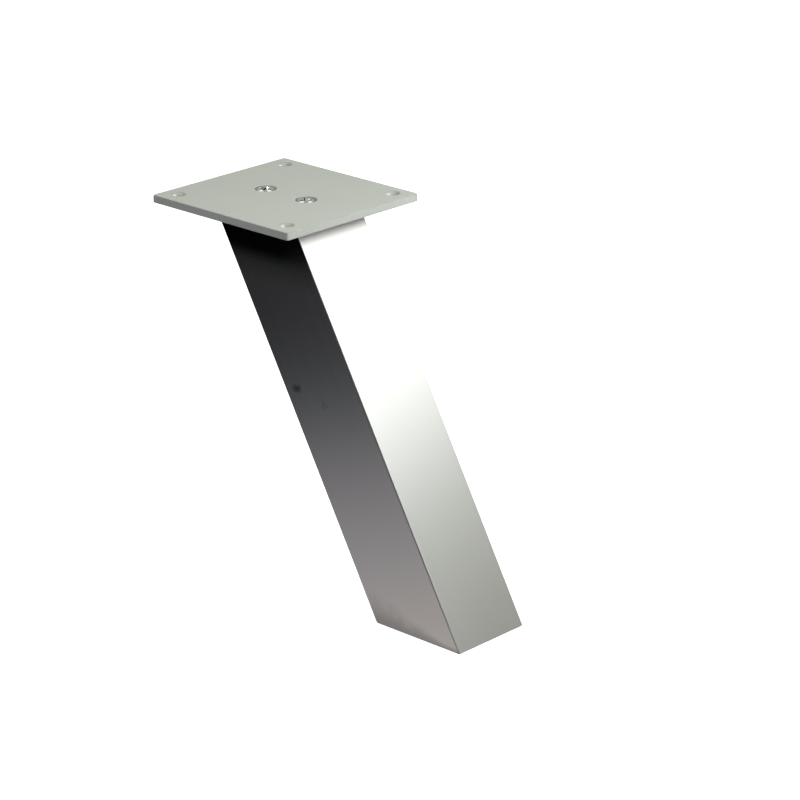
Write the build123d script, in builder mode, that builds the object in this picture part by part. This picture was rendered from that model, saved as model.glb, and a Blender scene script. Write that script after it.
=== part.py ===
from build123d import *
import os
from math import cos, radians, sin, tan

# A bar support bracket: a square aluminium tube that leans from a worktop up to a bar top, with a
# square steel mounting plate screwed to its upper end. All sizes are millimetres.
# The origin is the middle of the foot, which sits flat on the worktop. +Z is up, and the tube runs
# down from the plate to the foot towards +X. Y is across the tube, and both halves in Y are alike.

# Square aluminium extrusion, sawn level at both ends
tube_width = 50.8
tube_wall = 3.0
tube_outer_radius = 0.6
tube_bore_radius = 1.2
tube_length = 240.0
tube_lean = 30.0
tube_end_chamfer = 0.3
saw_allowance = 40.0

# Steel plate that goes against the underside of the bar: 4 mm, and 0.1 mm of coating on each face
plate_side = 100.0
plate_thickness = 4.2
plate_corner_radius = 2.0
plate_top_edge_radius = 0.9
plate_underside_edge_radius = 0.4
corner_hole_spacing = 80.0
corner_hole_radius = 2.25
corner_sink_radius = 4.2
countersink_angle = 90.0

# M6 countersunk screws that hold the plate on the tube's upper block
screw_spacing = 30.0
screw_hole_radius = 3.3
screw_sink_radius = 6.15
screw_length = 12.0
screw_core_radius = 2.5
screw_tip_chamfer = 0.6
head_radius = 5.65
head_land = 0.25

# Cross recess in each screw head
recess_depth = 2.9
recess_mouth_radius = 3.3
recess_floor_radius = 1.7
recess_wing_width = 1.5
recess_core_mouth_radius = 1.75
recess_core_floor_radius = 0.7
recess_turns = (18.0, 63.0)

# Blocks pressed into the tube's ends, tapped M6
block_height = 25.0
block_side_clearance = 0.5
block_corner_radius = 2.0
block_lead_in = 1.5
rib_width = 2.0
rib_pitch = 13.0
rib_count = 3
rib_start = 4.0
tapped_mouth_radius = 3.2
tapped_depth = 10.0
drill_point_angle = 118.0

# Places that follow from the sizes above
lean = radians(tube_lean)
rise = tube_length * cos(lean)
reach = tube_length * sin(lean)
bore_width = tube_width - 2 * tube_wall
head_below_surface = screw_sink_radius - head_radius - head_land

across_tube = Plane(origin=(0, 0, 0), x_dir=(cos(lean), 0, sin(lean)), z_dir=(-sin(lean), 0, cos(lean)))
plate_underside = Plane(origin=(-reach, 0, rise))
plate_top = plate_underside.offset(plate_thickness)
tube_middle_crosswise = Axis(origin=(-reach / 2, 0, rise / 2), direction=(0, 1, 0))


# Plate, rounded all round, with a countersunk hole at each corner and two for the screws
with BuildPart() as mounting_plate:
    with BuildSketch(plate_underside):
        RectangleRounded(plate_side, plate_side, plate_corner_radius)
    extrude(amount=plate_thickness)
    top_outline = mounting_plate.faces().sort_by(Axis.Z)[-1].edges()
    underside_outline = mounting_plate.faces().sort_by(Axis.Z)[0].edges()
    fillet(top_outline, radius=plate_top_edge_radius)
    fillet(underside_outline, radius=plate_underside_edge_radius)
    with Locations(plate_top):
        with GridLocations(corner_hole_spacing, corner_hole_spacing, 2, 2):
            CounterSinkHole(
                radius=corner_hole_radius,
                counter_sink_radius=corner_sink_radius,
                counter_sink_angle=countersink_angle,
            )
        with GridLocations(screw_spacing, 0, 2, 1):
            CounterSinkHole(
                radius=screw_hole_radius,
                counter_sink_radius=screw_sink_radius,
                counter_sink_angle=countersink_angle,
            )
mounting_plate.part.label = "mounting_plate"


# Tube, extruded along its own slanted axis, sawn level at the worktop and under the plate, deburred
with BuildPart() as leg_tube:
    with BuildSketch(across_tube.offset(-saw_allowance)):
        RectangleRounded(tube_width, tube_width, tube_outer_radius)
        RectangleRounded(bore_width, bore_width, tube_bore_radius, mode=Mode.SUBTRACT)
    extrude(amount=tube_length + 2 * saw_allowance)
    split(bisect_by=Plane.XY, keep=Keep.TOP)
    split(bisect_by=plate_underside, keep=Keep.BOTTOM)
    lower_end = leg_tube.faces().sort_by(Axis.Z)[0]
    upper_end = leg_tube.faces().sort_by(Axis.Z)[-1]
    chamfer(lower_end.outer_wire().edges() + upper_end.outer_wire().edges(), length=tube_end_chamfer)
leg_tube.part.label = "leg_tube"


# Crush ribs of the upper block: bars across the block whose ends press against the bore's walls
with BuildPart() as crush_ribs:
    with BuildSketch(across_tube.offset(tube_length - block_height - saw_allowance)):
        with GridLocations(rib_pitch, 0, rib_count, 1):
            Rectangle(rib_width, bore_width)
        with GridLocations(0, rib_pitch, 1, rib_count):
            Rectangle(bore_width, rib_width)
    extrude(amount=block_height + 2 * saw_allowance)
    split(bisect_by=plate_underside.offset(-block_height + rib_start), keep=Keep.TOP)
    split(bisect_by=plate_underside, keep=Keep.BOTTOM)


# Drilled and tapped hole, as the cutter leaves it, with its mouth at z = 0
with BuildPart() as tapped_hole:
    with BuildSketch(Plane.XZ):
        with BuildLine():
            Polyline(
                (0, 0),
                (tapped_mouth_radius, 0),
                (screw_core_radius, screw_core_radius - tapped_mouth_radius),
                (screw_core_radius, -tapped_depth),
                (0, -tapped_depth - screw_core_radius / tan(radians(drill_point_angle / 2))),
                close=True,
            )
        make_face()
    revolve(axis=Axis.Z)


# Upper block, sawn to the tube's slant, flush with the tube's end, with a chamfer to lead it in
with BuildPart() as top_block:
    with BuildSketch(across_tube.offset(tube_length - block_height - saw_allowance)):
        RectangleRounded(
            bore_width - 2 * block_side_clearance,
            bore_width - 2 * block_side_clearance,
            block_corner_radius,
        )
    extrude(amount=block_height + 2 * saw_allowance)
    split(bisect_by=plate_underside.offset(-block_height), keep=Keep.TOP)
    split(bisect_by=plate_underside, keep=Keep.BOTTOM)
    lead_in_edges = top_block.faces().sort_by(Axis.Z)[0].edges()
    chamfer(lead_in_edges, length=block_lead_in)
    add(crush_ribs.part)
    with Locations(plate_underside):
        with GridLocations(screw_spacing, 0, 2, 1):
            add(tapped_hole.part, mode=Mode.SUBTRACT)
top_block.part.label = "top_block"


# Lower block: the same block turned end for end, so that its tapped holes open at the worktop
with BuildPart() as bottom_block:
    add(top_block.part.rotate(tube_middle_crosswise, 180))
bottom_block.part.label = "bottom_block"


# Cross recess, as the punch leaves it, with its mouth at z = 0: four wings round a tapered core
with BuildPart() as cross_recess:
    with Locations((0, 0, -recess_depth / 2)):
        Cone(bottom_radius=recess_floor_radius, top_radius=recess_mouth_radius, height=recess_depth)
    with BuildSketch(Plane.XY):
        Rectangle(2 * recess_mouth_radius, recess_wing_width)
        Rectangle(recess_wing_width, 2 * recess_mouth_radius)
    extrude(amount=-recess_depth, mode=Mode.INTERSECT)
    with Locations((0, 0, -recess_depth / 2)):
        Cone(
            bottom_radius=recess_core_floor_radius,
            top_radius=recess_core_mouth_radius,
            height=recess_depth,
        )


# Screw blank with its head's top at z = 0; the shank is as thick as the thread's core
with BuildPart() as screw_blank:
    with BuildSketch(Plane.XZ):
        with BuildLine():
            Polyline(
                (0, 0),
                (head_radius, 0),
                (head_radius, -head_land),
                (screw_core_radius, -head_land - head_radius + screw_core_radius),
                (screw_core_radius, screw_tip_chamfer - screw_length),
                (screw_core_radius - screw_tip_chamfer, -screw_length),
                (0, -screw_length),
                close=True,
            )
        make_face()
    revolve(axis=Axis.Z)


# Both screws, seated in the plate's countersinks, each stopped at its own turn
head_top = plate_top.offset(-head_below_surface)
with BuildPart() as plate_screws:
    with Locations(head_top):
        with GridLocations(screw_spacing, 0, 2, 1):
            add(screw_blank.part)
        for x, turn in zip((-screw_spacing / 2, screw_spacing / 2), recess_turns):
            with Locations(Location((x, 0, 0), (0, 0, turn))):
                add(cross_recess.part, mode=Mode.SUBTRACT)
plate_screws.part.label = "plate_screws"


os.makedirs("parts", exist_ok=True)
for piece in (mounting_plate, leg_tube, top_block, bottom_block, plate_screws):
    export_step(piece.part, f"parts/{piece.part.label}.step")
print(f"rise {rise:.3f}, reach {reach:.3f}, overall height {rise + plate_thickness:.3f}")
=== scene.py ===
"""Looks of the bar support bracket: its finishes, fine threads, studio and camera.

The bracket is a square aluminium tube that leans from a worktop up to a square mounting plate.
Sizes in the classes are millimetres, and MM turns them into the metres that the scene uses. A Band
says between which two values an effect changes: distances, or parts of a direction from -1 to 1.
"""

from __future__ import annotations

import logging
import math
from dataclasses import dataclass, field
from enum import Enum

import bmesh
import bpy
from mathutils import Matrix, Vector

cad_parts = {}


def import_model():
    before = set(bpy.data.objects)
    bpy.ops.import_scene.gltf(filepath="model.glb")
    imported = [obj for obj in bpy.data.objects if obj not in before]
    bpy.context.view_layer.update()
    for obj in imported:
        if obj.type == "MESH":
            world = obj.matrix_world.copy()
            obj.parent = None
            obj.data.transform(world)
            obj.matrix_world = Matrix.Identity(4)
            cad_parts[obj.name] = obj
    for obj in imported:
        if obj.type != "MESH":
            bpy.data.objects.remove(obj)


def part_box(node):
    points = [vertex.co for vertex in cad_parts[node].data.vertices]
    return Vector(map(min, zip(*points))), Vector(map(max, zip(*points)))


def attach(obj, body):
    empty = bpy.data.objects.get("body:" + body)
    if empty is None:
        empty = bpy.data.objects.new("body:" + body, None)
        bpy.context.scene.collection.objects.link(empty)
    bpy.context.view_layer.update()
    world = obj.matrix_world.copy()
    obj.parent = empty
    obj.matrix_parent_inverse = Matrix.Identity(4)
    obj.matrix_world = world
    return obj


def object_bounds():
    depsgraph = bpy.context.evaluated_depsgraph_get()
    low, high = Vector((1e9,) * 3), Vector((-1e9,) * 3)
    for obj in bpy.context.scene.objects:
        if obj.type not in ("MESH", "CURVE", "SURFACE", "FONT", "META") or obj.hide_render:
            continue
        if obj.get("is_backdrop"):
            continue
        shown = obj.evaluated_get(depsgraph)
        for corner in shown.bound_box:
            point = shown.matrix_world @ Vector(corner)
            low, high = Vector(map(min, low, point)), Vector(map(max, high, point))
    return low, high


MM = 0.001
BODY = "root"
Colour = tuple[float, float, float, float]
Place = tuple[float, float, float]
Band = tuple[float, float]
Socket = bpy.types.NodeSocket
WHITE: Colour = (1.0, 1.0, 1.0, 1.0)
log = logging.getLogger("bracket")


class Node(Enum):
    """The frame's nodes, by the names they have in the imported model."""

    PLATE = "mounting_plate"
    TUBE = "leg_tube"
    TOP_BLOCK = "top_block"
    BOTTOM_BLOCK = "bottom_block"
    SCREWS = "plate_screws"


class Slot(Enum):
    """The record's material slots for the added threads; nothing in this script uses them."""

    BLOCK = "block_aluminium"
    ZINC = "screw_zinc"


def metres(band: Band) -> Band:
    """Gives a band of millimetres in metres."""
    return band[0] * MM, band[1] * MM


class Graph:
    """A node tree with short calls for adding nodes and joining them."""

    def __init__(self, tree: bpy.types.NodeTree) -> None:
        """Keeps the tree.

        Args:
            tree: The tree that nodes are added to.
        """
        self.tree = tree

    def add(self, kind: str, inputs: dict | None = None, **settings: object) -> bpy.types.Node:
        """Adds a node.

        Args:
            kind: Blender's name for the node type.
            inputs: Values or sockets for the node's inputs, by name or number.
            settings: Values for the node's own attributes.

        Returns:
            The new node.
        """
        node = self.tree.nodes.new(kind)
        for name, value in settings.items():
            setattr(node, name, value)
        for name, value in (inputs or {}).items():
            if isinstance(value, Socket):
                self.tree.links.new(value, node.inputs[name])
            else:
                node.inputs[name].default_value = value
        return node

    def join(self, source: Socket, node: bpy.types.Node, name: str | int) -> None:
        """Links a socket to a node's input.

        Args:
            source: The output that is read.
            node: The node that reads it.
            name: The input's name or number.
        """
        self.tree.links.new(source, node.inputs[name])

    def math(self, operation: str, *values: float | Socket) -> Socket:
        """Adds a Math node.

        Args:
            operation: The node's operation.
            values: Numbers or sockets, in the node's order.

        Returns:
            The node's output.
        """
        return self.add("ShaderNodeMath", dict(enumerate(values)), operation=operation).outputs[0]

    def vector(self, operation: str, *values: Place | Socket) -> Socket:
        """Adds a Vector Math node.

        Args:
            operation: The node's operation.
            values: Vectors or sockets, in the node's order.

        Returns:
            The node's number for a length or a dot product, and its vector otherwise.
        """
        node = self.add("ShaderNodeVectorMath", dict(enumerate(values)), operation=operation)
        return node.outputs["Value" if operation in ("LENGTH", "DOT_PRODUCT") else "Vector"]

    def split(self, vector: Socket) -> bpy.types.NodeOutputs:
        """Splits a vector, and gives its X, Y and Z."""
        return self.add("ShaderNodeSeparateXYZ", {"Vector": vector}).outputs

    def effect(self, tree: bpy.types.NodeTree, inputs: dict) -> bpy.types.NodeOutputs:
        """Places a shared effect, and gives its outputs."""
        return self.add("ShaderNodeGroup", inputs, node_tree=tree).outputs

    def ramp(self, value: Socket, band: Band, at_low: float = 0.0, at_high: float = 1.0) -> Socket:
        """Maps a value smoothly across a band, and holds the result outside it.

        Args:
            value: The socket to map.
            band: Where the result begins to change and where it stops.
            at_low: The result below the band.
            at_high: The result above the band.

        Returns:
            The mapped value.
        """
        low, high = band
        inputs = {"Value": value, "From Min": low, "From Max": high, "To Min": at_low, "To Max": at_high}
        return self.add("ShaderNodeMapRange", inputs, interpolation_type="SMOOTHSTEP").outputs["Result"]

    def noise(
        self, place: Socket, scale: float | Socket, detail: float = 2.0, rough: float = 0.5
    ) -> Socket:
        """Adds a Noise texture.

        Args:
            place: Where on the piece the noise is read.
            scale: Waves per metre.
            detail: How many finer layers the noise has.
            rough: How strong the finer layers are.

        Returns:
            The noise, from 0 to 1 and about 0.5 on average.
        """
        inputs = {"Vector": place, "Scale": scale, "Detail": detail, "Roughness": rough}
        return self.add("ShaderNodeTexNoise", inputs).outputs[0]

    def blend(self, factor: float | Socket, first: Colour | Socket, second: Colour | Socket) -> Socket:
        """Mixes two colours.

        Args:
            factor: 0 for the first colour and 1 for the second.
            first: The colour at 0.
            second: The colour at 1.

        Returns:
            The mixed colour.
        """
        return self.add("ShaderNodeMix", {0: factor, 6: first, 7: second}, data_type="RGBA").outputs[2]

    def place(self, centre: Place = (0.0, 0.0, 0.0), turn: Place = (0.0, 0.0, 0.0)) -> Socket:
        """Gives the place on the piece, in metres, from a centre and turned.

        Args:
            centre: The point, in millimetres, that becomes the origin.
            turn: The turn about X, Y and Z, in degrees, after the move.

        Returns:
            The place.
        """
        spot = self.add("ShaderNodeTexCoord").outputs["Object"]
        moved = self.add(
            "ShaderNodeMapping",
            {"Vector": spot, "Location": tuple(-MM * value for value in centre)},
        ).outputs[0]
        if not any(turn):
            return moved
        angles = tuple(math.radians(value) for value in turn)
        return self.add("ShaderNodeMapping", {"Vector": moved, "Rotation": angles}).outputs[0]


class SharedEffects:
    """Surface effects that the finishes use, each a shader node group built once."""

    streak_layers: float = 3.0
    streak_fineness: float = 0.65
    slow_share: float = 0.12
    cloud_layers: float = 4.0
    cloud_contrast: Band = (0.3, 0.7)
    lumps_per_radius: float = 0.9
    lump_layers: float = 3.0
    smudge_fade: Band = (0.4, 1.15)
    saw_layers: float = 4.0
    saw_fineness: float = 0.7

    def __init__(self) -> None:
        """Builds the groups."""
        self.streaks = self._streaks()
        self.clouding = self._clouding()
        self.smudge = self._smudge()
        self.saw_lines = self._saw_lines()

    @staticmethod
    def _group(name: str, inputs: dict[str, float | None], outputs: tuple[str, ...]) -> tuple[Graph, dict]:
        """Starts a node group.

        Args:
            name: The group's name.
            inputs: Input names, with a number for a value and None for a vector.
            outputs: Names of the value outputs.

        Returns:
            The group's graph and its input sockets.
        """
        tree = bpy.data.node_groups.new(name, "ShaderNodeTree")
        for title, value in inputs.items():
            kind = "NodeSocketVector" if value is None else "NodeSocketFloat"
            socket = tree.interface.new_socket(title, in_out="INPUT", socket_type=kind)
            if value is not None:
                socket.default_value = value
        for title in outputs:
            tree.interface.new_socket(title, in_out="OUTPUT", socket_type="NodeSocketFloat")
        graph = Graph(tree)
        return graph, graph.add("NodeGroupInput").outputs

    def _streaks(self) -> bpy.types.NodeTree:
        """Fine lines along Z of the vector given, as drawing a profile through its die leaves them.

        Returns:
            The group, which puts out the lines' Height and a slower Variation, both from 0 to 1.
        """
        inputs = {"Vector": None, "Lines per metre": 3000.0, "Stretch": 0.01}
        graph, given = self._group("streaks", inputs, ("Height", "Variation"))
        squash = graph.add("ShaderNodeCombineXYZ", {"X": 1.0, "Y": 1.0, "Z": given["Stretch"]})
        drawn = graph.vector("MULTIPLY", given["Vector"], squash.outputs[0])
        fine = graph.noise(drawn, given["Lines per metre"], self.streak_layers, self.streak_fineness)
        broad = graph.noise(drawn, graph.math("MULTIPLY", given["Lines per metre"], self.slow_share))
        graph.add("NodeGroupOutput", {"Height": fine, "Variation": broad})
        return graph.tree

    def _clouding(self) -> bpy.types.NodeTree:
        """Slow, soft unevenness, such as handling and anodising leave.

        Returns:
            The group, which puts out Value, from Low to High.
        """
        inputs = {"Vector": None, "Scale": 20.0, "Low": 0.0, "High": 1.0}
        graph, given = self._group("clouding", inputs, ("Value",))
        noise = graph.noise(given["Vector"], given["Scale"], self.cloud_layers)
        value = graph.ramp(noise, self.cloud_contrast)
        graph.join(given["Low"], value.node, "To Min")
        graph.join(given["High"], value.node, "To Max")
        graph.add("NodeGroupOutput", {"Value": value})
        return graph.tree

    def _smudge(self) -> bpy.types.NodeTree:
        """A soft ragged spot round the origin of the vector given.

        Returns:
            The group, which puts out Mask: 1 in the middle of the spot and 0 outside it.
        """
        inputs = {"Vector": None, "Radius": 0.002, "Raggedness": 0.5}
        graph, given = self._group("smudge", inputs, ("Mask",))
        lumps = graph.math("DIVIDE", self.lumps_per_radius, given["Radius"])
        noise = graph.noise(given["Vector"], lumps, self.lump_layers)
        wobble = graph.math("MULTIPLY_ADD", graph.math("SUBTRACT", noise, 0.5), given["Raggedness"], 1.0)
        edge = graph.math("MULTIPLY", given["Radius"], wobble)
        share = graph.math("DIVIDE", graph.vector("LENGTH", given["Vector"]), edge)
        graph.add("NodeGroupOutput", {"Mask": graph.ramp(share, self.smudge_fade, 1.0, 0.0)})
        return graph.tree

    def _saw_lines(self) -> bpy.types.NodeTree:
        """The shallow arcs that a saw blade leaves across a cut face that looks up or down.

        Returns:
            The group, which puts out Height, from 0 to 1.
        """
        inputs = {"Vector": None, "Blade radius": 0.18, "Lines per metre": 1500.0}
        graph, given = self._group("saw_lines", inputs, ("Height",))
        flat = graph.vector("MULTIPLY", given["Vector"], (1.0, 1.0, 0.0))
        axle = graph.add("ShaderNodeCombineXYZ", {"X": given["Blade radius"]}).outputs[0]
        reach = graph.vector("LENGTH", graph.vector("ADD", flat, axle))
        along = graph.add("ShaderNodeCombineXYZ", {"X": reach}).outputs[0]
        lines = graph.noise(along, given["Lines per metre"], self.saw_layers, self.saw_fineness)
        graph.add("NodeGroupOutput", {"Height": lines})
        return graph.tree


def start_material(name: str) -> tuple[bpy.types.Material, Graph, bpy.types.Node]:
    """Starts a material.

    Args:
        name: The material's name.

    Returns:
        The material, its graph and its Principled shader.
    """
    material = bpy.data.materials.new(name)
    material.use_nodes = True
    return material, Graph(material.node_tree), material.node_tree.nodes["Principled BSDF"]


@dataclass(frozen=True)
class PowderCoat:
    """Fine-textured grey powder coating, with a faint metallic fleck, painted light on the faces that look
    down, painted shade on its rounded edges and countersinks, and a painted glint in each countersink.
    """

    base: Colour = (0.375, 0.40, 0.345, 1.0)
    fleck: Colour = (0.42, 0.445, 0.39, 1.0)
    # Colour of the painted light on the faces that look down.
    painted_underside_light: Colour = (0.54, 0.55, 0.53, 1.0)
    # Colour of the painted glint in each countersink.
    hole_glint: Colour = (0.58, 0.61, 0.57, 1.0)
    # Colour of the painted shade on the rounded edges and in the countersinks.
    edge: Colour = (0.27, 0.29, 0.252, 1.0)
    roughness: float = 0.42
    roughness_spread: float = 0.06
    grain_per_metre: float = 1300.0
    grain_height: float = 0.02
    fleck_per_metre: float = 2600.0
    clouds_per_metre: float = 16.0
    cloud_depth: float = 0.2
    facing_up: Band = (0.2, 0.4)
    facing_down: Band = (0.5, 0.9)
    off_the_sides: Band = (0.1, 0.5)
    onto_the_flats: Band = (0.85, 0.98)
    countersink_share: float = 0.45
    middle: Place = (-120.0, 0.0, 210.0)
    hole_out: float = 40.0
    filled: Band = (3.2, 3.9)
    mouth: Band = (4.5, 4.7)
    outer_strip: Band = (46.0, 48.0)
    hole_glint_out: float = 2.7
    hole_glint_fade: Band = (0.4, 1.1)

    def build(self, effects: SharedEffects) -> bpy.types.Material:
        """Makes the material.

        Args:
            effects: The shared node groups.

        Returns:
            The material.
        """
        material, graph, shader = start_material("powder_coat")
        place = graph.place()
        cells = graph.add("ShaderNodeTexVoronoi", {"Vector": place, "Scale": self.fleck_per_metre})
        share = graph.add("ShaderNodeSeparateColor", {"Color": cells.outputs["Color"]}).outputs[0]
        inputs = {
            "Vector": place,
            "Scale": self.clouds_per_metre,
            "Low": -self.cloud_depth,
            "High": self.cloud_depth,
        }
        cloud = graph.effect(effects.clouding, inputs)["Value"]
        colour = graph.blend(graph.math("ADD", share, cloud), self.base, self.fleck)
        rim = self._rim(graph)
        hole = self._from_hole(graph)
        normal = self._coat_normal(graph, rim, hole)
        downward = graph.vector("DOT_PRODUCT", normal, (0.0, 0.0, -1.0))
        # Painted light: the faces that look down are made lighter.
        colour = graph.blend(graph.ramp(downward, self.facing_down), colour, self.painted_underside_light)
        # Painted shade on the rounded edges and in the countersinks.
        colour = graph.blend(self._slope_shade(graph, normal, rim), colour, self.edge)
        # Painted glint in each countersink.
        colour = graph.blend(self._hole_glint(graph, hole, normal), colour, self.hole_glint)
        graph.join(colour, shader, "Base Color")
        grain = graph.noise(place, self.grain_per_metre)
        least = self.roughness - self.roughness_spread
        rough = graph.math("MULTIPLY_ADD", grain, 2 * self.roughness_spread, least)
        graph.join(rough, shader, "Roughness")
        inputs = {"Height": grain, "Distance": self.grain_height * MM, "Normal": normal}
        graph.join(graph.add("ShaderNodeBump", inputs).outputs[0], shader, "Normal")
        return material

    def _from_hole(self, graph: Graph) -> Socket:
        """Gives the way across the plate from the nearest corner hole's axis.

        Args:
            graph: The material's graph.

        Returns:
            The way, in metres, without its Z.
        """
        spot = graph.place(self.middle)
        corner = (self.hole_out * MM, self.hole_out * MM, 0.0)
        hole = graph.vector("MULTIPLY", graph.vector("SIGN", spot), corner)
        return graph.vector("MULTIPLY", graph.vector("SUBTRACT", spot, hole), (1.0, 1.0, 0.0))

    def _hole_glint(self, graph: Graph, hole: Socket, normal: Socket) -> Socket:
        """Finds the small painted glint in each countersink.

        Args:
            graph: The material's graph.
            hole: The way from the nearest corner hole's axis.
            normal: The coating's normal.

        Returns:
            1 on the spot and 0 elsewhere.
        """
        beside = graph.vector("LENGTH", graph.vector("ADD", hole, (self.hole_glint_out * MM, 0.0, 0.0)))
        upward = graph.vector("DOT_PRODUCT", normal, (0.0, 0.0, 1.0))
        spot = graph.ramp(beside, metres(self.hole_glint_fade), 1.0, 0.0)
        return graph.math("MULTIPLY", spot, graph.ramp(upward, self.facing_up))

    def _coat_normal(self, graph: Graph, rim: Socket, hole: Socket) -> Socket:
        """Levels the coating round the countersinks' mouths, and tightens it over the outer edges.

        Args:
            graph: The material's graph.
            rim: 1 along the plate's outer edges.
            hole: The way from the nearest corner hole's axis.

        Returns:
            The coating's normal.
        """
        away = graph.vector("LENGTH", hole)
        ring = graph.math(
            "MULTIPLY",
            graph.ramp(away, metres(self.filled)),
            graph.ramp(away, metres(self.mouth), 1.0, 0.0),
        )
        normal = graph.add("ShaderNodeNewGeometry").outputs["Normal"]
        upward = graph.ramp(graph.split(normal)["Z"], self.facing_up)
        inputs = {0: graph.math("MULTIPLY", ring, upward), 4: normal, 5: (0.0, 0.0, 1.0)}
        level = graph.add("ShaderNodeMix", inputs, data_type="VECTOR").outputs[1]
        cubed = graph.vector("MULTIPLY", normal, graph.vector("MULTIPLY", normal, normal))
        inputs = {0: rim, 4: level, 5: graph.vector("NORMALIZE", cubed)}
        return graph.vector("NORMALIZE", graph.add("ShaderNodeMix", inputs, data_type="VECTOR").outputs[1])

    def _rim(self, graph: Graph) -> Socket:
        """Finds the strip along the plate's outer edges.

        Args:
            graph: The material's graph.

        Returns:
            1 along the outer edges and 0 further in.
        """
        parts = graph.split(graph.vector("ABSOLUTE", graph.place(self.middle)))
        return graph.ramp(graph.math("MAXIMUM", parts["X"], parts["Y"]), metres(self.outer_strip))

    def _slope_shade(self, graph: Graph, normal: Socket, rim: Socket) -> Socket:
        """Finds the rounded edges and countersinks, which get painted shade.

        Args:
            graph: The material's graph.
            normal: The coating's normal.
            rim: 1 along the plate's outer edges.

        Returns:
            1 on a rounded edge, less in a countersink, and 0 on the flat faces and the sides.
        """
        upright = graph.math("ABSOLUTE", graph.split(normal)["Z"])
        slope = graph.math(
            "MULTIPLY",
            graph.ramp(upright, self.off_the_sides),
            graph.ramp(upright, self.onto_the_flats, 1.0, 0.0),
        )
        less = self.countersink_share
        return graph.math("MULTIPLY", slope, graph.math("MULTIPLY_ADD", rim, 1.0 - less, less))


@dataclass(frozen=True)
class Stain:
    """A dull mark on the tube: where it is, how large, and how dark."""

    centre: Place
    radius: float
    depth: float
    raggedness: float = 0.5


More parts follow.
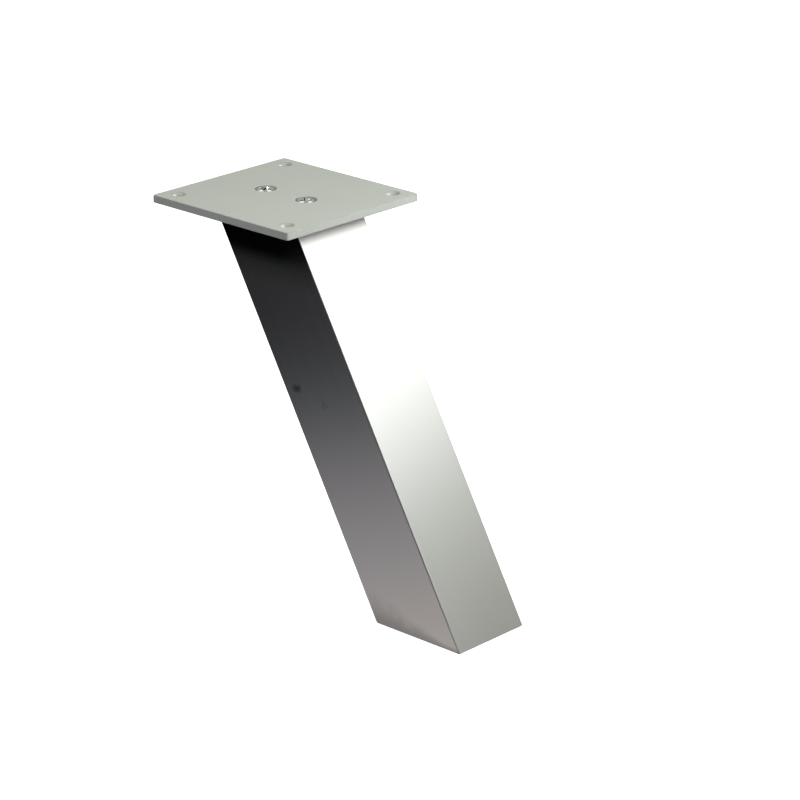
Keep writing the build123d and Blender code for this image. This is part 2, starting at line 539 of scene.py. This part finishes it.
@dataclass(frozen=True)
class SatinAnodised:
    """Satin anodised aluminium, drawn along the tube, with a few dull stains, a darker band along the
    foot, a painted shadow below the plate, and sawn ends.
    """

    base: Colour = (0.83, 0.84, 0.81, 1.0)
    sawn: Colour = (0.72, 0.73, 0.71, 1.0)
    # Colour of the stains, of the foot's darker band and of the painted shadow below the plate.
    darkening: Colour = (0.13, 0.15, 0.16, 1.0)
    metallic: float = 0.97
    roughness: float = 0.31
    sawn_roughness: float = 0.36
    lean: float = 30.0
    grain_per_metre: float = 2600.0
    grain_stretch: float = 0.012
    grain_height: float = 0.0015
    grain_roughness: float = 0.04
    saw_per_metre: float = 1400.0
    saw_height: float = 0.03
    level_cut: Band = (0.9, 0.97)
    clouds_per_metre: float = 11.0
    cloud_depth: float = 0.5
    cloud_roughness: float = 0.02
    darkened_side: Band = (-25.3, -24.9)
    stains: tuple[Stain, ...] = (
        Stain((-88.8, -25.4, 117.2), 2.5, 0.50, 0.3),
        Stain((-85.9, -25.4, 118.4), 1.6, 0.46, 0.5),
        Stain((-86.3, -25.4, 116.7), 1.9, 0.40, 0.5),
        Stain((-87.6, -25.4, 116.9), 1.7, 0.30, 0.3),
        Stain((-68.8, -25.4, 115.4), 1.1, 0.10, 0.6),
        Stain((-68.1, -25.4, 113.5), 1.5, 0.17, 0.6),
        Stain((-67.5, -25.4, 111.4), 1.4, 0.14, 0.6),
        Stain((-65.4, -25.4, 112.6), 1.3, 0.12, 0.6),
    )
    # A wavy darker band along the foot's edge, on the side at -Y.
    foot_band_height: float = 17.0
    foot_band_depth: float = 0.50
    foot_band_length: Band = (-30.0, 26.0)
    foot_band_end: float = 0.17
    foot_band_waves_per_metre: float = 95.0
    foot_band_wave: float = 1.2
    foot_band_trough: float = 0.4
    # Painted shadow of the plate on the tube's side at -Y, darkest just below the plate.
    plate_shadow: Band = (180.0, 191.0)
    plate_shadow_depth: float = 0.95
    plate_shadow_slant: Band = (6.0, 28.0)
    plate_shadow_rise: float = 7.0

    def build(self, effects: SharedEffects) -> bpy.types.Material:
        """Makes the material.

        Args:
            effects: The shared node groups.

        Returns:
            The material.
        """
        material, graph, shader = start_material("satin_anodised")
        shader.inputs["Metallic"].default_value = self.metallic
        place = graph.place()
        along = graph.place(turn=(0.0, self.lean, 0.0))
        cut = self._cut_mask(graph)
        inputs = {
            "Vector": along,
            "Lines per metre": self.grain_per_metre,
            "Stretch": self.grain_stretch,
        }
        streaks = graph.effect(effects.streaks, inputs)
        inputs = {"Vector": place, "Lines per metre": self.saw_per_metre}
        saw = graph.effect(effects.saw_lines, inputs)["Height"]
        inputs = {
            "Vector": place,
            "Scale": self.clouds_per_metre,
            "Low": -self.cloud_depth,
            "High": self.cloud_depth,
        }
        cloud = graph.effect(effects.clouding, inputs)["Value"]
        marks_and_shadow = self._marks_and_shadow(graph, effects, place)
        metal = graph.blend(cut, self.base, self.sawn)
        graph.join(graph.blend(marks_and_shadow, metal, self.darkening), shader, "Base Color")
        least = self.roughness - self.grain_roughness / 2
        uneven = graph.math("MULTIPLY_ADD", cloud, self.cloud_roughness, least)
        drawn = graph.math("MULTIPLY_ADD", streaks["Variation"], self.grain_roughness, uneven)
        rough = graph.math("MULTIPLY_ADD", cut, self.sawn_roughness - self.roughness, drawn)
        graph.join(rough, shader, "Roughness")
        drawn_height = graph.math("MULTIPLY", streaks["Height"], self.grain_height / self.saw_height)
        height = graph.add("ShaderNodeMix", {0: cut, 2: drawn_height, 3: saw}).outputs[0]
        bump = graph.add("ShaderNodeBump", {"Height": height, "Distance": self.saw_height * MM})
        graph.join(bump.outputs[0], shader, "Normal")
        return material

    def _cut_mask(self, graph: Graph) -> Socket:
        """Finds the sawn ends, the only faces that look straight up or down.

        Args:
            graph: The material's graph.

        Returns:
            1 on a sawn end and 0 elsewhere.
        """
        normal = graph.add("ShaderNodeNewGeometry").outputs["True Normal"]
        return graph.ramp(graph.math("ABSOLUTE", graph.split(normal)["Z"]), self.level_cut)

    def _marks_and_shadow(self, graph: Graph, effects: SharedEffects, place: Socket) -> Socket:
        """Adds up the tube's stains, the darker band along its foot and the painted shadow below the
        plate.

        Args:
            graph: The material's graph.
            effects: The shared node groups.
            place: The place on the tube.

        Returns:
            How dark the metal is made, from 0 to 1.
        """
        parts = graph.split(place)
        # The foot's darker band and the painted shadow below the plate, both only on the side at -Y.
        edges = graph.math("MAXIMUM", self._foot_band(graph, place, parts), self._plate_shadow(graph, parts))
        side = graph.ramp(parts["Y"], metres(self.darkened_side), 1.0, 0.0)
        total = graph.math("MULTIPLY", edges, side)
        for darkening in self.stains:
            inputs = {
                "Vector": graph.place(darkening.centre),
                "Radius": darkening.radius * MM,
                "Raggedness": darkening.raggedness,
            }
            mask = graph.effect(effects.smudge, inputs)["Mask"]
            left = graph.math("SUBTRACT", 1.0, total)
            share = graph.math("MULTIPLY", mask, darkening.depth)
            total = graph.math("MULTIPLY_ADD", share, left, total)
        return total

    def _plate_shadow(self, graph: Graph, parts: bpy.types.NodeOutputs) -> Socket:
        """Painted shadow of the plate: a dark band just below the plate, which starts higher up towards
        the front edge.

        Args:
            graph: The material's graph.
            parts: The place on the tube, split into X, Y and Z.

        Returns:
            How dark the painted shadow makes the metal, from 0 to the band's depth.
        """
        slope = math.tan(math.radians(self.lean))
        across = graph.math("MULTIPLY_ADD", parts["Z"], slope, parts["X"])
        rise = graph.ramp(across, metres(self.plate_shadow_slant), 0.0, self.plate_shadow_rise * MM)
        height = graph.math("SUBTRACT", parts["Z"], rise)
        return graph.ramp(height, metres(self.plate_shadow), 0.0, self.plate_shadow_depth)

    def _foot_band(self, graph: Graph, place: Socket, parts: bpy.types.NodeOutputs) -> Socket:
        """The wavy darker band along the foot's edge, darkest at the edge and fading upwards.

        Args:
            graph: The material's graph.
            place: The place on the tube.
            parts: The same place, split into X, Y and Z.

        Returns:
            How dark the band makes the metal, from 0 to its depth.
        """
        reach = graph.ramp(parts["X"], metres(self.foot_band_length), 1.0, self.foot_band_end)
        noise = graph.noise(place, self.foot_band_waves_per_metre)
        wave = graph.math("MULTIPLY_ADD", noise, self.foot_band_wave, self.foot_band_trough)
        top = graph.math("MULTIPLY", graph.math("MULTIPLY", reach, wave), self.foot_band_height * MM)
        share = graph.math("DIVIDE", parts["Z"], top)
        return graph.ramp(share, (0.0, 1.0), self.foot_band_depth, 0.0)


@dataclass(frozen=True)
class SawnAluminium:
    """Bare aluminium of the blocks, with milled lines."""

    base: Colour = (0.70, 0.71, 0.70, 1.0)
    dull: Colour = (0.60, 0.61, 0.60, 1.0)
    clouds_per_metre: float = 40.0
    roughness: float = 0.38
    roughness_spread: float = 0.08
    blade_radius: float = 120.0
    lines_per_metre: float = 2200.0
    line_height: float = 0.02

    def build(self, effects: SharedEffects) -> bpy.types.Material:
        """Makes the material.

        Args:
            effects: The shared node groups.

        Returns:
            The material.
        """
        material, graph, shader = start_material("sawn_aluminium")
        shader.inputs["Metallic"].default_value = 1.0
        place = graph.place()
        cloud = graph.effect(effects.clouding, {"Vector": place, "Scale": self.clouds_per_metre})["Value"]
        graph.join(graph.blend(cloud, self.base, self.dull), shader, "Base Color")
        inputs = {
            "Vector": place,
            "Blade radius": self.blade_radius * MM,
            "Lines per metre": self.lines_per_metre,
        }
        lines = graph.effect(effects.saw_lines, inputs)["Height"]
        least = self.roughness - self.roughness_spread
        rough = graph.math("MULTIPLY_ADD", lines, 2 * self.roughness_spread, least)
        graph.join(rough, shader, "Roughness")
        bump = graph.add("ShaderNodeBump", {"Height": lines, "Distance": self.line_height * MM})
        graph.join(bump.outputs[0], shader, "Normal")
        return material


@dataclass(frozen=True)
class ZincPlate:
    """Zinc plating, with painted shade round each head's rim and in its recess, and painted highlights in
    places between.
    """

    base: Colour = (0.76, 0.80, 0.78, 1.0)
    worn: Colour = (0.42, 0.46, 0.44, 1.0)
    # Colour of the painted shade round each head's rim and in its recess.
    head_shade: Colour = (0.10, 0.12, 0.11, 1.0)
    # Colour of the painted highlights on the heads, which are not metal.
    head_highlight: Colour = (0.90, 0.92, 0.89, 1.0)
    clouds_per_metre: float = 420.0
    roughness: float = 0.22
    roughness_spread: float = 0.06
    speckles_per_metre: float = 900.0
    speckle_layers: float = 3.0
    speckle_height: float = 0.05
    heads_middle: Place = (-120.0, 0.0, 211.8)
    half_spacing: float = 15.0
    rim: Band = (4.0, 5.4)
    rim_shade: float = 0.8
    recess: Band = (-1.2, -0.2)
    recess_shade: float = 0.35
    first_arc: Place = (0.673, -0.740, 0.0)
    beside_arc: Place = (0.740, 0.673, 0.0)
    arcs_per_turn: float = 6.0
    between_arcs: Band = (-0.4, 0.3)
    towards_first: Band = (0.45, 0.7)
    outer_highlight: Band = (2.7, 3.4)
    head_glint: Place = (-104.7, 1.83, 211.6)
    head_glint_fade: Band = (0.5, 1.3)

    def build(self, effects: SharedEffects) -> bpy.types.Material:
        """Makes the material.

        Args:
            effects: The shared node groups.

        Returns:
            The material.
        """
        material, graph, shader = start_material("zinc_plate")
        place = graph.place()
        cloud = graph.effect(effects.clouding, {"Vector": place, "Scale": self.clouds_per_metre})["Value"]
        head_shade, head_highlight = self._shade_and_highlights(graph)
        # Painted shade round each head's rim and in its recess.
        metal = graph.blend(head_shade, graph.blend(cloud, self.base, self.worn), self.head_shade)
        # Painted highlights between the arcs on the heads' near side, and a painted glint on one head.
        graph.join(graph.blend(head_highlight, metal, self.head_highlight), shader, "Base Color")
        graph.join(graph.math("SUBTRACT", 1.0, head_highlight), shader, "Metallic")
        fine = graph.noise(place, self.speckles_per_metre, self.speckle_layers)
        least = self.roughness - self.roughness_spread
        rough = graph.math("MULTIPLY_ADD", fine, 2 * self.roughness_spread, least)
        graph.join(rough, shader, "Roughness")
        bump = graph.add("ShaderNodeBump", {"Height": fine, "Distance": self.speckle_height * MM})
        graph.join(bump.outputs[0], shader, "Normal")
        return material

    def _shade_and_highlights(self, graph: Graph) -> tuple[Socket, Socket]:
        """Finds where the heads get painted shade and where they get painted highlights.

        Args:
            graph: The material's graph.

        Returns:
            How strong the painted shade and the painted highlights are, each from 0 to 1.
        """
        parts = graph.split(graph.place(self.heads_middle))
        side = graph.math("SIGN", parts["X"])
        beside = graph.math("MULTIPLY_ADD", side, -self.half_spacing * MM, parts["X"])
        flat = graph.add("ShaderNodeCombineXYZ", {"X": beside, "Y": parts["Y"]}).outputs[0]
        away = graph.vector("LENGTH", flat)
        way = graph.vector("NORMALIZE", flat)
        front = graph.vector("DOT_PRODUCT", way, self.first_arc)
        angle = graph.math("ARCTAN2", graph.vector("DOT_PRODUCT", way, self.beside_arc), front)
        arcs = graph.math("COSINE", graph.math("MULTIPLY", angle, self.arcs_per_turn))
        between = graph.ramp(arcs, self.between_arcs, 1.0, 0.0)
        gap = graph.math("MULTIPLY", between, graph.ramp(front, self.towards_first))
        head_highlight = graph.math("MULTIPLY", gap, graph.ramp(away, metres(self.outer_highlight)))
        # A painted glint on the head nearer +X.
        beyond = graph.vector("LENGTH", graph.place(self.head_glint))
        head_glint = graph.ramp(beyond, metres(self.head_glint_fade), 1.0, 0.0)
        rim = graph.ramp(away, metres(self.rim), 0.0, self.rim_shade)
        recess = graph.ramp(parts["Z"], metres(self.recess), self.recess_shade, 0.0)
        return graph.math("MAXIMUM", rim, recess), graph.math("MAXIMUM", head_highlight, head_glint)


def dress(node: Node, material: bpy.types.Material) -> None:
    """Gives a frame node a finish, and leaves its shape alone.

    Args:
        node: The frame node.
        material: The finish.
    """
    piece = bpy.data.objects[node.value]
    if not piece.material_slots:
        piece.data.materials.append(material)
    for slot in piece.material_slots:
        slot.material = material
    log.info("dressed %s in %s", node.value, material.name)


@dataclass
class HelicalRidge:
    """One thread: a ridge of V section that climbs round an upright axis."""

    root_radius: float
    crest_radius: float
    pitch: float
    bottom: float
    top: float
    root_half_share: float = 0.42
    crest_half_share: float = 0.06
    steps_per_turn: int = 28

    def add_to(self, mesh: bmesh.types.BMesh, x: float, y: float) -> None:
        """Spins the ridge's section up its axis.

        Args:
            mesh: The mesh that the ridge is added to.
            x: The axis's place along X, in millimetres.
            y: The axis's place along Y, in millimetres.
        """
        turns = (self.top - self.bottom) / self.pitch - 1.0
        half_root = self.root_half_share * self.pitch
        half_crest = self.crest_half_share * self.pitch
        section = (
            (self.root_radius, -half_root),
            (self.crest_radius, -half_crest),
            (self.crest_radius, half_crest),
            (self.root_radius, half_root),
        )
        start = self.bottom + 0.5 * self.pitch
        corners = [
            mesh.verts.new((MM * (x + radius), MM * y, MM * (start + rise))) for radius, rise in section
        ]
        cap = mesh.faces.new(corners)
        steps = round(turns * self.steps_per_turn)
        bmesh.ops.spin(
            mesh,
            geom=[cap, *cap.edges, *cap.verts],
            cent=(MM * x, MM * y, 0.0),
            axis=(0.0, 0.0, 1.0),
            dvec=(0.0, 0.0, MM * self.pitch / self.steps_per_turn),
            angle=math.tau * steps / self.steps_per_turn,
            steps=steps,
            use_merge=False,
        )


def finish_piece(name: str, mesh: bmesh.types.BMesh, material: bpy.types.Material) -> None:
    """Turns a bmesh into a piece that rides on the bracket.

    Args:
        name: The piece's name.
        mesh: The shape, in metres, in the frame's own place.
        material: The finish.
    """
    bmesh.ops.recalc_face_normals(mesh, faces=mesh.faces)
    data = bpy.data.meshes.new(name)
    mesh.to_mesh(data)
    mesh.free()
    data.materials.append(material)
    piece = bpy.data.objects.new(name, data)
    bpy.context.scene.collection.objects.link(piece)
    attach(piece, BODY)
    log.info("made %s with %d faces", name, len(data.polygons))


@dataclass
class MountingPlate:
    """The square plate that holds the bar top, with four countersunk corner holes."""

    finish: PowderCoat = field(default_factory=PowderCoat)

    def build(self, effects: SharedEffects) -> None:
        """Dresses the plate.

        Args:
            effects: The shared node groups.
        """
        dress(Node.PLATE, self.finish.build(effects))

    @staticmethod
    def top_centre() -> Vector:
        """Returns the middle of the plate's upper face, in metres."""
        low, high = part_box(Node.PLATE.value)
        return Vector(((low[0] + high[0]) / 2, (low[1] + high[1]) / 2, high[2]))


@dataclass
class LegTube:
    """The leaning square tube, drawn in one length and sawn level at both ends."""

    finish: SatinAnodised = field(default_factory=SatinAnodised)

    def build(self, effects: SharedEffects) -> None:
        """Dresses the tube.

        Args:
            effects: The shared node groups.
        """
        dress(Node.TUBE, self.finish.build(effects))


@dataclass
class EndBlocks:
    """The two blocks glued into the tube's ends, and the threads in the lower one."""

    finish: SawnAluminium = field(default_factory=SawnAluminium)
    hole_spacing: float = 30.0
    hole_radius: float = 2.5
    hole_depth: float = 10.0
    thread_pitch: float = 1.0
    thread_height: float = 0.14
    mouth_depth: float = 0.7

    def build(self, effects: SharedEffects) -> None:
        """Dresses both blocks and cuts the threads of the foot's holes.

        Args:
            effects: The shared node groups.
        """
        material = self.finish.build(effects)
        dress(Node.TOP_BLOCK, material)
        dress(Node.BOTTOM_BLOCK, material)
        ridge = HelicalRidge(
            self.hole_radius,
            self.hole_radius - self.thread_height,
            self.thread_pitch,
            self.mouth_depth,
            self.hole_depth,
        )
        mesh = bmesh.new()
        for side in (-1, 1):
            ridge.add_to(mesh, side * self.hole_spacing / 2, 0.0)
        finish_piece("foot_hole_threads", mesh, material)


@dataclass
class PlateScrews:
    """The two countersunk screws that hold the plate, and their threads."""

    finish: ZincPlate = field(default_factory=ZincPlate)
    spacing: float = 30.0
    core_radius: float = 2.5
    crest_radius: float = 2.95
    thread_pitch: float = 1.0
    thread_length: float = 7.5

    def build(self, effects: SharedEffects) -> None:
        """Dresses the screws and winds their threads.

        Args:
            effects: The shared node groups.
        """
        material = self.finish.build(effects)
        dress(Node.SCREWS, material)
        low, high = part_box(Node.SCREWS.value)
        middle_x = (low[0] + high[0]) / 2 / MM
        middle_y = (low[1] + high[1]) / 2 / MM
        tip = low[2] / MM
        ridge = HelicalRidge(
            self.core_radius, self.crest_radius, self.thread_pitch, tip, tip + self.thread_length
        )
        mesh = bmesh.new()
        for side in (-1, 1):
            ridge.add_to(mesh, middle_x + side * self.spacing / 2, middle_y)
        finish_piece("screw_threads", mesh, material)


@dataclass(frozen=True)
class SoftLight:
    """A rectangular lamp that faces the point it is hung round."""

    name: str
    way: Place
    distance: float
    width: float
    height: float
    power: float
    tint: tuple[float, float, float] = (1.0, 1.0, 1.0)
    mirrored: bool = True

    def hang(self, aim: Vector) -> None:
        """Hangs the lamp.

        Args:
            aim: The point, in metres, that the lamp faces.
        """
        light = bpy.data.lights.new(self.name, "AREA")
        light.shape = "RECTANGLE"
        light.size = self.width * MM
        light.size_y = self.height * MM
        light.energy = self.power
        light.color = self.tint
        lamp = bpy.data.objects.new(self.name, light)
        lamp.visible_glossy = self.mirrored
        way = Vector(self.way).normalized()
        lamp.location = aim + MM * self.distance * way
        lamp.rotation_euler = way.to_track_quat("Z", "Y").to_euler()
        bpy.context.scene.collection.objects.link(lamp)


@dataclass
class Studio:
    """A pale floor, four soft lamps, and a dim room round them.

    The softbox stands behind to the right. The panel hangs high on the left, so that the plate
    shades the tube below it. The side and top lamps light the matt coating only.
    """

    floor_radius: float = 9000.0
    floor_sides: int = 96
    floor_drop: float = 0.05
    floor_base: Colour = (0.9, 0.9, 0.89, 1.0)
    floor_roughness: float = 0.9
    floor_specular: float = 0.1
    floor_glow: float = 0.85
    softbox_height: float = 800.0
    softbox: SoftLight = SoftLight(
        "softbox", (0.66, 0.75, 0.0), 720.0, 1100.0, 800.0, power=4.65, tint=(0.995, 1.0, 1.015)
    )
    panel: SoftLight = SoftLight(
        "panel", (0.0, -0.688, 0.725), 1500.0, 1400.0, 475.0, power=16.3, tint=(1.015, 1.0, 1.12)
    )
    side_lamp: SoftLight = SoftLight(
        "side_lamp",
        (0.90, 0.30, 0.30),
        500.0,
        200.0,
        200.0,
        power=2.3,
        tint=(0.99, 1.0, 1.06),
        mirrored=False,
    )
    top_lamp: SoftLight = SoftLight(
        "top_lamp",
        (0.20, 0.25, 0.95),
        900.0,
        400.0,
        400.0,
        power=1.7,
        tint=(1.04, 1.0, 0.84),
        mirrored=False,
    )
    mirror_way: Place = (-1.0, -0.34, 0.0)
    mirror_near: float = 0.387
    mirror_end: float = 398.0
    mirror_curve: float = 0.76
    mirror_most: float = 0.400
    mirror_far_tint: Colour = (0.86, 1.0, 1.13, 1.0)
    mirror_middle_tint: Colour = (1.05, 0.985, 1.05, 1.0)
    mirror_near_tint: Colour = (1.08, 0.985, 0.975, 1.0)
    far_to_middle: Band = (0.07, 0.17)
    middle_to_near: Band = (0.28, 0.36)
    strip_side: Place = (0.638, -0.770, 0.0)
    strip_middle: float = 19.6
    strip_edge: Band = (80.0, 170.0)
    strip_start: Band = (-90.0, -30.0)
    rear_start: Band = (-20.0, 60.0)
    room_way: Place = (-0.35, 0.94, 0.0)
    room_rise: Band = (0.0, 0.9)
    room_strength: float = 0.525
    room_tint: Colour = (0.97, 1.0, 0.87, 1.0)

    def build(self, plate_top: Vector) -> None:
        """Sets up the floor, the lights and the room.

        Args:
            plate_top: The middle of the plate's upper face, in metres.
        """
        view = bpy.context.scene.view_settings
        view.view_transform = "Standard"
        view.look = "None"
        self._floor()
        self.softbox.hang(Vector((0.0, 0.0, MM * self.softbox_height)))
        self.panel.hang(plate_top)
        self.side_lamp.hang(plate_top)
        self.top_lamp.hang(plate_top)
        self._room()

    def _floor(self) -> None:
        """Makes the floor: white to the eye, and otherwise a painted glow that fades with distance."""
        mesh = bmesh.new()
        bmesh.ops.create_circle(
            mesh, cap_ends=True, segments=self.floor_sides, radius=self.floor_radius * MM
        )
        bmesh.ops.translate(mesh, verts=mesh.verts, vec=(0.0, 0.0, -self.floor_drop * MM))
        data = bpy.data.meshes.new("floor")
        mesh.to_mesh(data)
        mesh.free()
        floor = bpy.data.objects.new("floor", data)
        bpy.context.scene.collection.objects.link(floor)
        data.materials.append(self._floor_material())
        floor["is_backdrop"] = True

    def _floor_material(self) -> bpy.types.Material:
        """Makes the floor's material.

        Returns:
            The material.
        """
        material, graph, shader = start_material("studio_floor")
        output = material.node_tree.nodes["Material Output"]
        shader.inputs["Base Color"].default_value = self.floor_base
        shader.inputs["Roughness"].default_value = self.floor_roughness
        shader.inputs["Specular IOR Level"].default_value = self.floor_specular
        shader.inputs["Emission Color"].default_value = WHITE
        shader.inputs["Emission Strength"].default_value = self.floor_glow
        path = graph.add("ShaderNodeLightPath").outputs
        place = graph.place()
        distance = graph.vector("DOT_PRODUCT", place, self.mirror_way)
        left = graph.math("MULTIPLY_ADD", distance, -1.0 / (self.mirror_end * MM), 1.0)
        fade = graph.math("POWER", graph.math("MAXIMUM", left, 0.0), self.mirror_curve)
        held = graph.math("MINIMUM", graph.math("MULTIPLY", fade, self.mirror_near), self.mirror_most)
        nearing = graph.ramp(held, self.far_to_middle)
        tint = graph.blend(nearing, self.mirror_far_tint, self.mirror_middle_tint)
        tint = graph.blend(graph.ramp(held, self.middle_to_near), tint, self.mirror_near_tint)
        # The painted glow, standing in for the floor's light and shade, seen in the metal and lighting the
        # bracket.
        kept = graph.math("MULTIPLY", held, self._glowing_floor(graph, place, distance))
        mirror = graph.add("ShaderNodeEmission", {"Color": tint, "Strength": kept}).outputs[0]
        inputs = {0: path["Is Camera Ray"], 1: mirror, 2: shader.outputs[0]}
        graph.join(graph.add("ShaderNodeMixShader", inputs).outputs[0], output, "Surface")
        return material

    def _glowing_floor(self, graph: Graph, place: Socket, distance: Socket) -> Socket:
        """Finds where the floor's painted glow shows: all of it behind the bracket, and a strip in front.

        Args:
            graph: The material's graph.
            place: The place on the floor.
            distance: How far out the place is from the foot.

        Returns:
            1 where the floor gives light and 0 where it is dark.
        """
        across = graph.vector("DOT_PRODUCT", place, self.strip_side)
        aside = graph.math("ABSOLUTE", graph.math("SUBTRACT", across, self.strip_middle * MM))
        strip = graph.ramp(aside, metres(self.strip_edge), 1.0, 0.0)
        begun = graph.ramp(distance, metres(self.strip_start))
        back = graph.vector("DOT_PRODUCT", place, (0.0, 1.0, 0.0))
        behind = graph.ramp(back, metres(self.rear_start))
        return graph.math("MAXIMUM", graph.math("MULTIPLY", strip, begun), behind)

    def _room(self) -> None:
        """Gives the room its light: white to the eye, and otherwise dim and brightest behind."""
        world = bpy.data.worlds.new("room")
        world.use_nodes = True
        bpy.context.scene.world = world
        graph = Graph(world.node_tree)
        output = world.node_tree.nodes["World Output"]
        background = world.node_tree.nodes["Background"]
        way = graph.add("ShaderNodeTexCoord").outputs["Generated"]
        behind = graph.vector("DOT_PRODUCT", way, self.room_way)
        dim = graph.ramp(behind, self.room_rise, 0.0, self.room_strength)
        path = graph.add("ShaderNodeLightPath").outputs
        seen = graph.add("ShaderNodeMix", {0: path["Is Camera Ray"], 2: dim, 3: 1.0}).outputs[0]
        graph.join(seen, background, "Strength")
        graph.join(graph.blend(path["Is Camera Ray"], self.room_tint, WHITE), background, "Color")
        graph.join(background.outputs[0], output, "Surface")


@dataclass
class PhotoCamera:
    """The camera at the photograph's viewing angle."""

    azimuth: float = 42.28
    elevation: float = 20.20
    roll: float = 0.49
    distance: float = 1677.1
    aim_right: float = 60.51
    aim_up: float = -109.14
    lens: float = 142.57
    clip_end: float = 100000.0

    def build(self, target: Vector) -> None:
        """Places the camera.

        Args:
            target: The point, in metres, that the aim is measured from.
        """
        azimuth = math.radians(self.azimuth)
        elevation = math.radians(self.elevation)
        roll = math.radians(self.roll)
        back = Vector((
            math.sin(azimuth) * math.cos(elevation),
            -math.cos(azimuth) * math.cos(elevation),
            math.sin(elevation),
        ))
        level = Vector((math.cos(azimuth), math.sin(azimuth), 0.0))
        upright = back.cross(level)
        right = math.cos(roll) * level + math.sin(roll) * upright
        up = -math.sin(roll) * level + math.cos(roll) * upright
        aim = target + MM * (self.aim_right * right + self.aim_up * up)
        data = bpy.data.cameras.new("camera")
        data.lens = self.lens
        data.clip_end = MM * self.clip_end
        camera = bpy.data.objects.new("camera", data)
        axes = Matrix((right, up, back)).transposed().to_4x4()
        camera.matrix_world = Matrix.Translation(aim + MM * self.distance * back) @ axes
        bpy.context.scene.collection.objects.link(camera)
        bpy.context.scene.camera = camera


def main() -> list[list[float]]:
    """Builds the bracket's looks, then the studio round it.

    Returns:
        The bracket's box before anything was added, as its lowest and highest corners.
    """
    logging.basicConfig(level=logging.INFO, format="%(name)s: %(message)s")
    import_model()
    modelled = [[float(value) for value in corner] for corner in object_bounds()]
    effects = SharedEffects()
    for assembly in (MountingPlate(), LegTube(), EndBlocks(), PlateScrews()):
        assembly.build(effects)
    plate_top = MountingPlate.top_centre()
    Studio().build(plate_top)
    PhotoCamera().build(plate_top)
    return modelled


if __name__ == "__main__":
    main()
